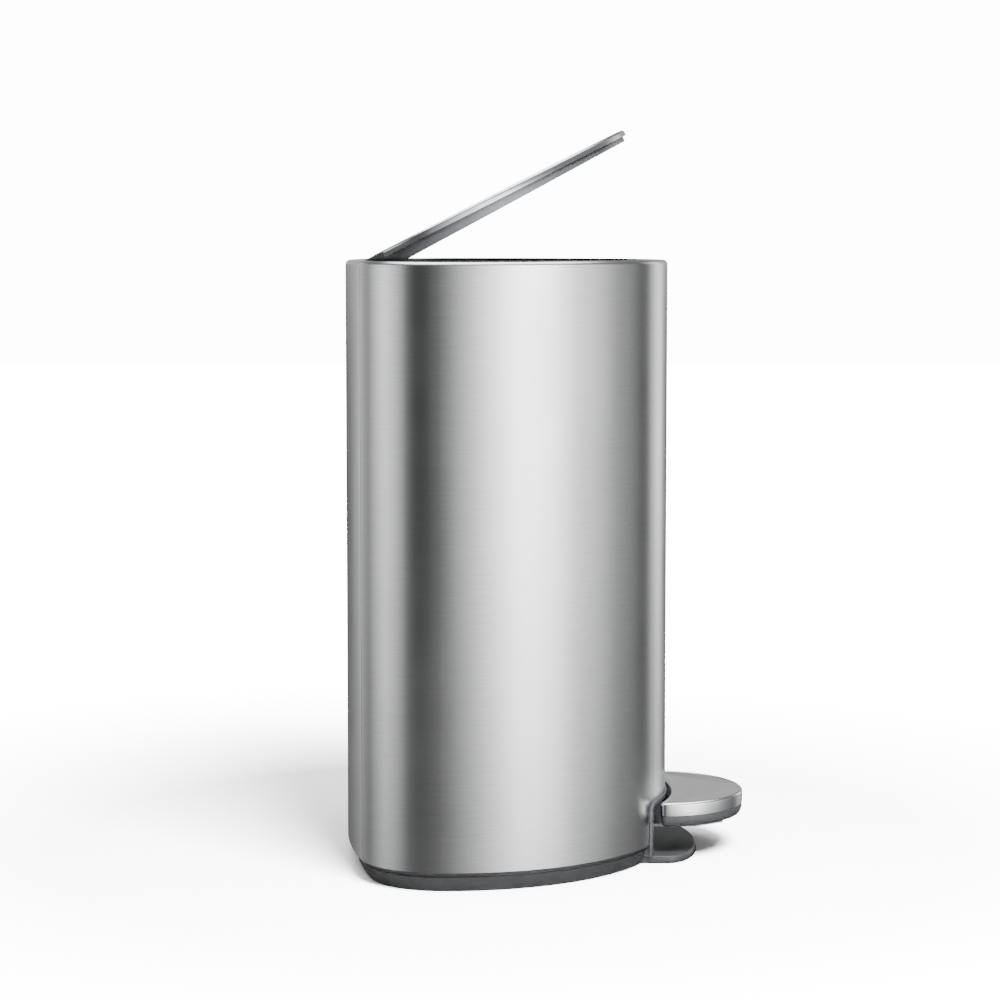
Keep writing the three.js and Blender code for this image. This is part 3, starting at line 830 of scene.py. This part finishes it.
class CAN_OT_lid_plate(bpy.types.Operator):
    """Steel lid: a shallow pan with a bright rounded edge"""

    bl_idname = "trash_can.lid_plate"
    bl_label = "Lid Plate"

    def execute(self, context):
        body, _, _, lid, _ = sizes()
        low, high = lid.top - lid.plate, lid.top
        bm = lid_outline(body, lid, lid.inset, lid.rear)
        raise_block(bm, low, high)
        piece = mesh_object(bm, "lid_plate_pan")
        for side in (-1, 1):
            combine(piece, clip_tool(side))
        round_outline(piece, high, 3 * MM)
        hollow = lid_outline(body, lid, lid.inset + body.sheet, lid.rear + FAR)
        raise_block(hollow, low - 5 * MM, high - body.sheet)
        combine(piece, hollow)
        piece.data.transform(lid_place(lid))
        finish_piece(piece, "lid_plate_pan", lid_steel(), "brushed_steel", "lid", "lid_top_plate", angle=40)
        return {"FINISHED"}


class CAN_OT_lid_liner(bpy.types.Operator):
    """Plastic wedge under the lid, deeper at the hinge, with a sunk panel on its underside"""

    bl_idname = "trash_can.lid_liner"
    bl_label = "Lid Liner"

    def execute(self, context):
        body, _, _, lid, _ = sizes()
        gap = body.gap
        top = lid.top - body.sheet - gap
        reach = lid.hinge_y + body.nose - lid.inset
        slope = math.atan2(lid.liner_rear - lid.liner_tip, reach)
        bm = lid_outline(body, lid, lid.liner_inset, lid.rear - gap)
        raise_block(bm, -lid.liner_rear - 8 * MM, top)
        piece = mesh_object(bm, "lid_liner_wedge")
        for side in (-1, 1):
            combine(piece, clip_tool(side, gap))
        under = box_tool(-5 * FAR, 5 * FAR, -5 * FAR, 5 * FAR, -FAR, 0)
        tilt = Matrix.Translation((0, 0, -lid.liner_rear)) @ Matrix.Rotation(-slope, 4, "X")
        bmesh.ops.transform(under, matrix=tilt, verts=under.verts)
        combine(piece, under)
        bay, slot = 21 * MM, 3.5 * MM
        combine(piece, box_tool(-bay, bay, -51 * MM, FAR, -FAR, FAR))
        for side in (-1, 1):
            middle = side * lid.hinge_x
            combine(piece, box_tool(middle - slot, middle + slot, -10 * MM, FAR, -FAR, FAR))
            bore = bmesh.new()
            bar(bore, (middle - 14 * MM, 0, 0), (middle + 14 * MM, 0, 0), 2.3 * MM)
            combine(piece, bore)
        soften(piece, 0.8 * MM, angle=35)
        self.sink_panel(piece, body, lid, tilt)
        piece.data.transform(lid_place(lid))
        finish_piece(
            piece, "lid_liner_wedge", liner_plastic(), "dark_plastic", "lid", "lid_liner", angle=35
        )
        return {"FINISHED"}

    def sink_panel(self, piece, body, lid, tilt):
        """Sinks a panel into the underside, 1.2 mm deep."""
        tool = lid_outline(body, lid, lid.liner_inset + 14 * MM, -62 * MM)
        raise_block(tool, -20 * MM, 1.2 * MM)
        bmesh.ops.transform(tool, matrix=tilt, verts=tool.verts)
        combine(piece, tool)


def pedal_outline(body, pedal, inset):
    """The pedal's plan: a round front, two small corners and a hollow back that follows the body."""
    body_y = body.front - body.nose
    radius = body.front + pedal.gap
    corner = pedal.corner
    corner_x = pedal.half - corner
    corner_y = body_y - math.sqrt((radius + corner) ** 2 - corner_x ** 2)
    half, reach = pedal.half - inset, pedal.reach - inset
    lean = math.degrees(math.asin((corner_y + pedal.centre) / -reach))
    front = [(x * half, y * reach - pedal.centre) for x, y in arc(0, 0, 1, 180 + lean, 360 - lean, 64)]
    turn = math.degrees(math.atan2(body_y - corner_y, -corner_x))
    right = arc(corner_x, corner_y, corner - inset, 0, turn, 10)
    back = arc(0, body_y, radius + inset, turn - 180, -turn, 30)
    left = arc(-corner_x, corner_y, corner - inset, 180 - turn, 180, 10)
    return front[1:-1] + right + back[1:-1] + left


def loft(bm, rings):
    """Skins closed rings of (x, y, z) points, counter-clockwise from above, and caps both ends."""
    loops = [[bm.verts.new(point) for point in ring] for ring in rings]
    bm.faces.new(loops[0][::-1])
    for low, high in zip(loops, loops[1:]):
        for a, b, c, d in zip(low, low[1:] + low[:1], high[1:] + high[:1], high):
            bm.faces.new((a, b, c, d))
    bm.faces.new(loops[-1])


def pedal_rings(body, pedal, profile):
    """Rings on the pedal's plan from (inset, height) points."""
    return [[(x, y, z) for x, y in pedal_outline(body, pedal, inset)] for inset, z in profile]


class CAN_OT_pedal_tread(bpy.types.Operator):
    """Steel tread: a drawn cap with a bright rounded edge and a satin top sunk inside a fine bead"""

    bl_idname = "trash_can.pedal_tread"
    bl_label = "Pedal Tread"

    def execute(self, context):
        body, *_, pedal = sizes()
        top, foot, sheet = pedal.top, pedal.cap_foot, pedal.sheet
        r = pedal.edge_round
        rounded = [(r - x, top - r + z) for x, z in arc(0, 0, r, 0, 90, 8)]
        bead = [(r + 1.2 * MM, top), (r + 1.5 * MM, top - 0.4 * MM), (r + 2.1 * MM, top - 0.5 * MM)]
        inside = [(3 * MM, top - sheet - 0.6 * MM), (sheet, top - sheet - 2.4 * MM), (sheet, foot)]
        bm = bmesh.new()
        loft(bm, pedal_rings(body, pedal, [*inside, (0, foot), *rounded, *bead]))
        piece = mesh_object(bm, "pedal_tread")
        finish_piece(piece, "pedal_tread", lid_steel(), "brushed_steel", "pedal", "pedal_cap", angle=40)
        return {"FINISHED"}


class CAN_OT_pedal_body(bpy.types.Operator):
    """Dark plastic underbody of the pedal, well rounded below"""

    bl_idname = "trash_can.pedal_body"
    bl_label = "Pedal Underbody"

    def execute(self, context):
        body, *_, pedal = sizes()
        joint = pedal.cap_foot - body.gap
        foot, side = pedal.foot, 0.5 * MM
        round_x, round_z = 5 * MM, 8 * MM
        rounded = [
            (side + round_x * (1 - x), foot + round_z * (1 + z)) for x, z in arc(0, 0, 1, 270, 360, 10)
        ]
        core = pedal.sheet + body.gap
        inside = [(core, joint), (core, pedal.top - 4.5 * MM), (3.6 * MM, pedal.top - 2.6 * MM)]
        bm = bmesh.new()
        loft(bm, pedal_rings(body, pedal, [*rounded, (side, joint), *inside]))
        piece = mesh_object(bm, "pedal_underbody_moulding")
        finish_piece(
            piece, "pedal_underbody_moulding", base_plastic(), "dark_plastic", "pedal", "pedal_underbody",
            angle=40,
        )
        return {"FINISHED"}


BUMPER_TURN = 38  # degrees from the tip of the nose to each stop


class CAN_OT_pads(bpy.types.Operator):
    """Rubber pads and edging under the base, and rubber stops for the closed lid"""

    bl_idname = "trash_can.pads"
    bl_label = "Rubber Pads"

    def execute(self, context):
        for number in range(1, 5):
            node = f"foot_pad_{number}"
            low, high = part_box(node)
            middle = (low + high) / 2
            radius = (high[0] - low[0]) / 2
            bm = bmesh.new()
            bar(bm, (middle[0], middle[1], low[2]), (middle[0], middle[1], high[2]), radius, 48)
            level = [e for e in bm.edges if abs(e.verts[0].co.z - e.verts[1].co.z) < 1e-6]
            round_edges(bm, level, 0.6 * MM, 3)
            self.finish(bm, f"rubber_{node}", node)
        body, base, *_ = sizes()
        # painted contact shadow: a black strip round the foot of the tongue
        self.edging(base)
        plan = Plan(body)
        wall = body.sheet + 2.5 * MM + 5 * body.gap
        for side, word in ((-1, "left"), (1, "right")):
            node = f"lid_bumper_{word}"
            low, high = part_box(node)
            height = (low[2] + high[2]) / 2
            turn = math.radians(-90 + side * BUMPER_TURN)
            reach = Vector((math.cos(turn), math.sin(turn), 0))
            centre = Vector((0, plan.front_y, height))
            outer, inner = body.front - wall, body.front - wall - 16 * MM
            bm = bmesh.new()
            bar(bm, centre + reach * inner, centre + reach * outer, 4.5 * MM, 32)
            round_edges(bm, [e for e in bm.edges if e.calc_face_angle(0) > 1], 1.2 * MM, 4)
            self.finish(bm, f"rubber_{node}", node)
        return {"FINISHED"}

    def finish(self, bm, name, *nodes, angle=50):
        """Makes one rubber piece of the body."""
        face_outwards(bm)
        finish_piece(mesh_object(bm, name), name, black_rubber(), "rubber", "body", *nodes, angle=angle)

    def edging(self, base):
        """Thin black strip that runs round the foot of the tongue."""
        # painted shadow: a thin black ring, proud of the tongue at the floor, where only contact shade
        # falls
        proud, high = 0.9 * MM, 1.6 * MM
        half, reach = base.tongue_half, base.tongue_tip - base.tongue_straight
        start = -150 * MM
        rings = []
        for grow in (proud, -0.6 * MM):
            wide, far = half + grow, reach + grow
            half_round = arc(0, 0, 1, 180, 360, TONGUE_STEPS)
            tip = [(x * wide, y * far - base.tongue_straight) for x, y in half_round]
            rings.append([(-wide, start), *tip, (wide, start)])
        bm = bmesh.new()
        prism(bm, rings[0] + rings[1][::-1], 0, high)
        self.finish(bm, "tongue_edging", angle=30)


PLATED_NODES = (
    "hinge_bracket_left", "hinge_bracket_right", "hinge_pin_left", "hinge_pin_right", "hinge_screw_1",
    "hinge_screw_2", "hinge_screw_3", "hinge_screw_4", "lid_crank", "crank_pin", "push_rod",
    "pedal_lever", "pedal_axle", "roller_pin", "axle_bracket_left", "axle_bracket_right",
)
GREY_NODES = ("rod_channel", "axle_bush_left", "axle_bush_right", "lever_roller")
DARK_NODES = ("rod_guide_1", "rod_guide_2", "rod_yoke", "rod_foot")


class CAN_OT_mechanism(bpy.types.Operator):
    """Finishes of the lever, the rod, the hinges and their fasteners"""

    bl_idname = "trash_can.mechanism"
    bl_label = "Mechanism Finishes"

    def execute(self, context):
        groups = (
            (PLATED_NODES, plated_steel()), (GREY_NODES, trim_plastic()), (DARK_NODES, base_plastic()),
        )
        for nodes, finish in groups:
            for name in nodes:
                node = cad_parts[name]
                for slot in node.material_slots:
                    slot.material = finish
        return {"FINISHED"}


# ---------------------------------------------------------------- stage

# brightness of the soft boxes and dark cards round the can: degrees counter-clockwise from the camera
STUDIO = (
    (0, 0.42), (12, 1.5), (24, 3.6), (38, 7.4), (52, 6.0), (68, 2.3), (84, 1.4), (96, 0.58), (110, 0.36),
    (121, 0.1), (128, 0.16), (136, 1.2), (145, 2.3), (154, 0.4), (161, 0.1), (170, 0.35), (178, 0.8),
    (184, 0.05), (197, 0.1), (208, 1.05), (225, 0.6), (242, 0.38), (260, 1.2), (274, 1.9), (288, 1.4),
    (299, 0.8), (309, 0.2), (321, 0.05), (335, 0.06), (348, 0.17), (356, 0.2), (360, 0.42),
)
BRIGHTEST = 8.0    # the ramp holds shares of this
CEILING = 6.0      # soft box overhead
GAP_ABOVE = 0.2    # dark gap between the walls of light and the ceiling
UNDERSIDE = 0.15   # what the steel mirrors below the horizon
FAR_CARD = 0.6     # grey card across the set from the camera
PAPER = 14.0       # white backdrop, seen by the camera alone


class CAN_OT_stage(bpy.types.Operator):
    """Pale floor, soft studio light and the camera"""

    bl_idname = "trash_can.stage"
    bl_label = "Stage"

    def execute(self, context):
        self.floor()
        self.surroundings(context.scene)
        self.lamp("key_softbox", (-1.9, -0.8, 2.7), 1.3, 1500)
        self.camera(context.scene)
        return {"FINISHED"}

    def floor(self):
        """White paper, which the steel doesn't mirror."""
        bm = bmesh.new()
        bmesh.ops.create_grid(bm, x_segments=1, y_segments=1, size=12)
        piece = mesh_object(bm, "studio_floor")
        piece.visible_glossy = False
        finish, tree, shader, place = new_finish("white_paper")
        shader.inputs["Base Color"].default_value = (*bpy.context.scene.can_finish.floor, 1)
        shader.inputs["Roughness"].default_value = 0.9
        apart = add_node(tree, "ShaderNodeVectorMath", {0: place}, operation="LENGTH").outputs["Value"]
        rays = add_node(tree, "ShaderNodeLightPath").outputs["Is Camera Ray"]
        far = remap(tree, apart, 0.5, 1.4, 0, 1)
        share = self.product(tree, far, rays)
        shader.inputs["Emission Color"].default_value = (1, 1, 1, 1)
        glow = remap(tree, share, 0, 1, 0, PAPER)
        tree.links.new(glow, shader.inputs["Emission Strength"])
        piece.data.materials.append(finish)

    def surroundings(self, scene):
        """Soft boxes and dark cards all round, a bright ceiling, and white paper where the camera looks."""
        world = bpy.data.worlds.new("studio")
        scene.world = world
        world.use_nodes = True
        tree = world.node_tree
        tree.nodes.clear()
        heading = add_node(tree, "ShaderNodeTexCoord").outputs["Generated"]
        turned = add_node(tree, "ShaderNodeTexGradient", {"Vector": heading}, gradient_type="RADIAL")
        ramp = add_node(tree, "ShaderNodeValToRGB", {"Fac": turned.outputs["Fac"]})
        stops = ramp.color_ramp.elements
        stops[-1].position = 1
        for number, (angle, bright) in enumerate(STUDIO):
            last = number == len(STUDIO) - 1
            stop = stops[0] if number == 0 else stops[-1] if last else stops.new(angle / 360)
            stop.color = (*[bright / BRIGHTEST] * 3, 1)
        split = add_node(tree, "ShaderNodeSeparateXYZ", {"Vector": heading})
        ahead = remap(tree, split.outputs["X"], 0.8, 0.97, 0, 1)
        lifted = remap(tree, split.outputs["Z"], -0.03, 0.03, 0, 1)
        card = self.product(tree, ahead, lifted)
        carded = self.blend(tree, card, ramp.outputs["Color"], FAR_CARD / BRIGHTEST)
        low = remap(tree, split.outputs["Z"], -0.05, -0.27, 0, 1)
        over = remap(tree, split.outputs["Z"], 0.28, 0.42, 0, 1)
        height = remap(tree, split.outputs["Z"], 0.7, 0.86, 0, 1)
        walls = self.blend(tree, low, carded, UNDERSIDE / BRIGHTEST)
        dimmed = self.blend(tree, over, walls, GAP_ABOVE / BRIGHTEST)
        sky = self.blend(tree, height, dimmed, CEILING / BRIGHTEST)
        bands = add_node(tree, "ShaderNodeBackground", {"Color": sky, "Strength": BRIGHTEST})
        white = add_node(tree, "ShaderNodeBackground", {"Color": (1, 1, 1, 1), "Strength": PAPER})
        rays = add_node(tree, "ShaderNodeLightPath")
        seen, mirrored = white.outputs["Background"], bands.outputs["Background"]
        inputs = {0: rays.outputs["Is Camera Ray"], 1: mirrored, 2: seen}
        shown = add_node(tree, "ShaderNodeMixShader", inputs)
        add_node(tree, "ShaderNodeOutputWorld", {"Surface": shown.outputs["Shader"]})

    def product(self, tree, first, second):
        """One value times another."""
        inputs = {0: first, 1: second}
        return add_node(tree, "ShaderNodeMath", inputs, operation="MULTIPLY").outputs["Value"]

    def blend(self, tree, factor, colour_socket, grey):
        """Blends a colour towards an even grey."""
        mix = add_node(tree, "ShaderNodeMix", {"Factor": factor}, data_type="RGBA")
        tree.links.new(colour_socket, mix.inputs[6])
        mix.inputs[7].default_value = (grey, grey, grey, 1)
        return mix.outputs[2]

    def lamp(self, name, place, size, power):
        """A square soft box aimed at the can, unseen by the camera and the steel."""
        data = bpy.data.lights.new(name, "AREA")
        data.size = size
        data.energy = power
        lamp = bpy.data.objects.new(name, data)
        lamp.location = place
        lamp.rotation_euler = (Vector((0, 0, 0.3)) - Vector(place)).to_track_quat("-Z", "Y").to_euler()
        lamp.visible_camera = False
        lamp.visible_glossy = False
        bpy.context.scene.collection.objects.link(lamp)

    def camera(self, scene):
        """A long lens a little above the rim, side-on to the can."""
        data = bpy.data.cameras.new("camera")
        data.lens = 104.4
        data.sensor_width = 36
        data.clip_end = 60
        data.dof.use_dof = False
        camera = bpy.data.objects.new("camera", data)
        camera.location = (-3.1304, 0.0681, 0.6656)
        heading = Vector((0.99568, -0.01943, -0.09082))
        camera.rotation_euler = heading.to_track_quat("-Z", "Y").to_euler()
        scene.collection.objects.link(camera)
        scene.camera = camera


STEPS = (
    CAN_OT_stage, CAN_OT_front_shell, CAN_OT_rear_panel, CAN_OT_base, CAN_OT_opening_trim, CAN_OT_collar,
    CAN_OT_bucket, CAN_OT_lid_plate, CAN_OT_lid_liner, CAN_OT_pedal_tread, CAN_OT_pedal_body, CAN_OT_pads,
    CAN_OT_mechanism,
)


class CAN_PT_sidebar(bpy.types.Panel):
    """The trash can's sizes, finishes and pieces in the sidebar"""

    bl_label = "Trash Can"
    bl_idname = "CAN_PT_sidebar"
    bl_space_type = "VIEW_3D"
    bl_region_type = "UI"
    bl_category = "Trash Can"

    def draw(self, context):
        for key, group in GROUPS.items():
            column = self.layout.column(heading=group.__doc__)
            for name in group.__annotations__:
                column.prop(getattr(context.scene, key), name)
        for step in STEPS:
            self.layout.operator(step.bl_idname)


CLASSES = (*GROUPS.values(), *STEPS, CAN_PT_sidebar)


def register():
    for item in CLASSES:
        bpy.utils.register_class(item)
    for key, group in GROUPS.items():
        setattr(bpy.types.Scene, key, PointerProperty(type=group))


def unregister():
    for key in GROUPS:
        delattr(bpy.types.Scene, key)
    for item in reversed(CLASSES):
        bpy.utils.unregister_class(item)


def main():
    register()
    for step in STEPS:
        family, _, name = step.bl_idname.partition(".")
        getattr(getattr(bpy.ops, family), name)()


if __name__ == "__main__":
    main()
